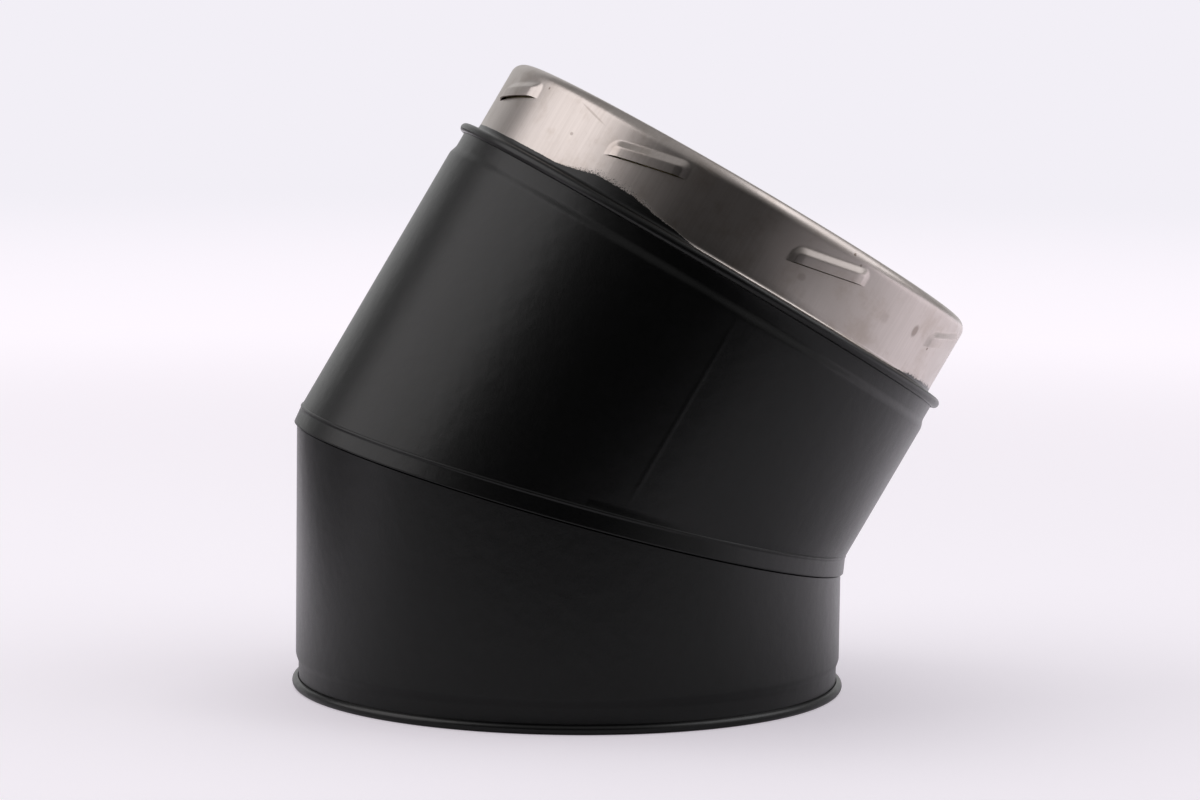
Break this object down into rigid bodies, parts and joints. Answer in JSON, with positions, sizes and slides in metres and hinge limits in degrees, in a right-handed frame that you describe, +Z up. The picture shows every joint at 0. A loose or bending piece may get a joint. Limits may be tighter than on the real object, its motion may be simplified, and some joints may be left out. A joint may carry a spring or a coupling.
{
  "type": "insulated flue elbow",
  "caption": "Insulated twin-wall flue elbow that turns the flue by thirty degrees, with a black casing, a stainless liner and twist-lock end couplers.",
  "frame": {"origin": "on the plane that the elbow stands on, under the middle of its plan; the lower leg's axis is 21.46 mm towards -X from it", "axes": "+Z up along the lower leg, +X towards the side that the upper leg leans to, +Y across the elbow"},
  "size_m": [0.245, 0.2022, 0.2281],
  "materials": {
    "black_paint": "satin, fine sandy grain",
    "coupler_steel": "brushed along the axis, faint smudges",
    "liner_steel": "bright mill finish",
    "weld_metal": "dull",
    "mineral_wool": "fibrous"
  },
  "bodies": {
    "root": {"lower_casing_gore": "black_paint", "upper_casing_gore": "black_paint", "male_coupler": "coupler_steel", "female_coupler": "coupler_steel", "lower_liner_gore": "liner_steel", "upper_liner_gore": "liner_steel", "liner_seam_weld": "weld_metal", "lower_insulation": "mineral_wool", "upper_insulation": "mineral_wool"}
  },
  "joints": []
}
